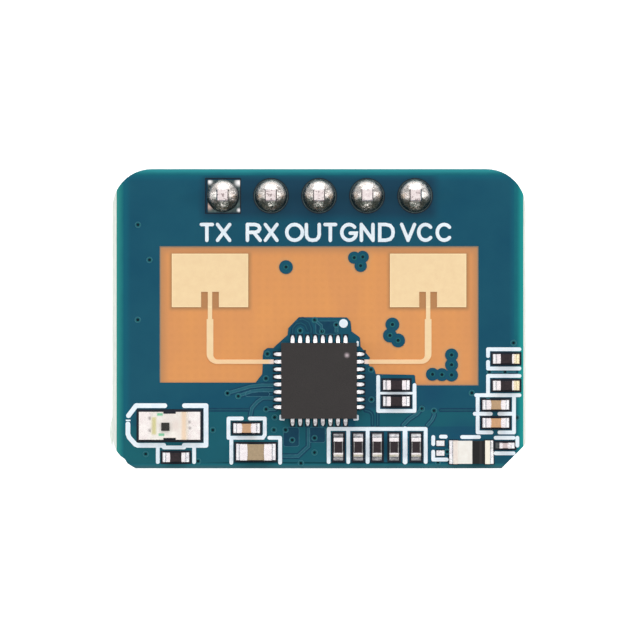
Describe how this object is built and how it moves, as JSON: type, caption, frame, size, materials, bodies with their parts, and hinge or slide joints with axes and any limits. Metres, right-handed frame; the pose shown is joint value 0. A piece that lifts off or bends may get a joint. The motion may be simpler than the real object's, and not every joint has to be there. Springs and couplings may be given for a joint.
{
  "type": "microwave radar sensor module",
  "caption": "Small circuit board with two patch antennas, a radar chip, a light sensor and a straight pin header that plugs into a carrier board or socket.",
  "frame": {"origin": "middle of the pin row, on the underside of the header strip, which seats on the carrier board", "axes": "+Z out of the component face, away from the pins' mating ends; +Y from the radar chip towards the board's pin edge; +X along the pin row, from the first pin to the last"},
  "size_m": [0.0221, 0.0158, 0.0113],
  "materials": {
    "laminate": "fibreglass laminate, matt cut edges",
    "mask": "green-blue solder mask, satin gloss",
    "bare_copper": "thin gold over nickel on copper, satin",
    "tin": "bright reflowed solder and tinned metal",
    "pin_metal": "plated square pin stock",
    "strip_plastic": "black moulded nylon",
    "mould_compound": "dark moulded epoxy, fine matt grain",
    "resistor": "dark coated ceramic between tinned end caps",
    "capacitor": "tan ceramic between tinned end caps",
    "antenna_ceramic": "white ceramic with a dark band",
    "sensor_board": "white resin board",
    "sensor_resin": "clear moulded epoxy",
    "silicon": "dark polished die",
    "crystal_ceramic": "grey-brown fired ceramic",
    "lid_metal": "plated seam-welded lid",
    "print_ink": "white epoxy ink"
  },
  "bodies": {
    "root": {"board_core": "laminate", "solder_mask_front": "mask", "solder_mask_back": "mask", "plated_holes": "tin", "transmit_antenna": "bare_copper", "receive_antenna": "bare_copper", "header_strip": "strip_plastic", "header_pin_1": "pin_metal", "header_pin_2": "pin_metal", "header_pin_3": "pin_metal", "header_pin_4": "pin_metal", "header_pin_5": "pin_metal", "solder_joint_1": "tin", "solder_joint_2": "tin", "solder_joint_3": "tin", "solder_joint_4": "tin", "solder_joint_5": "tin", "radar_chip_body": "mould_compound", "radar_chip_leads": "tin", "sensor_base": "sensor_board", "sensor_terminals": "tin", "sensor_die": "silicon", "sensor_lens": "sensor_resin", "chip_antenna": "antenna_ceramic", "resistor_1": "resistor", "resistor_2": "resistor", "resistor_3": "resistor", "resistor_4": "resistor", "resistor_5": "resistor", "resistor_6": "resistor", "resistor_7": "resistor", "resistor_8": "resistor", "resistor_9": "resistor", "resistor_10": "resistor", "capacitor_1": "capacitor", "capacitor_2": "capacitor", "capacitor_3": "capacitor", "capacitor_4": "capacitor", "capacitor_5": "capacitor", "front_pads": "tin", "front_solder": "tin", "front_print": "print_ink", "microcontroller_body": "mould_compound", "microcontroller_leads": "tin", "crystal_base": "crystal_ceramic", "crystal_lid": "lid_metal", "regulator_body": "mould_compound", "regulator_leads": "tin", "back_capacitor_1": "capacitor", "back_capacitor_2": "capacitor", "back_capacitor_3": "capacitor", "back_capacitor_4": "capacitor", "back_resistor_1": "resistor", "back_resistor_2": "resistor", "back_pads": "tin", "back_solder": "tin"}
  },
  "joints": []
}
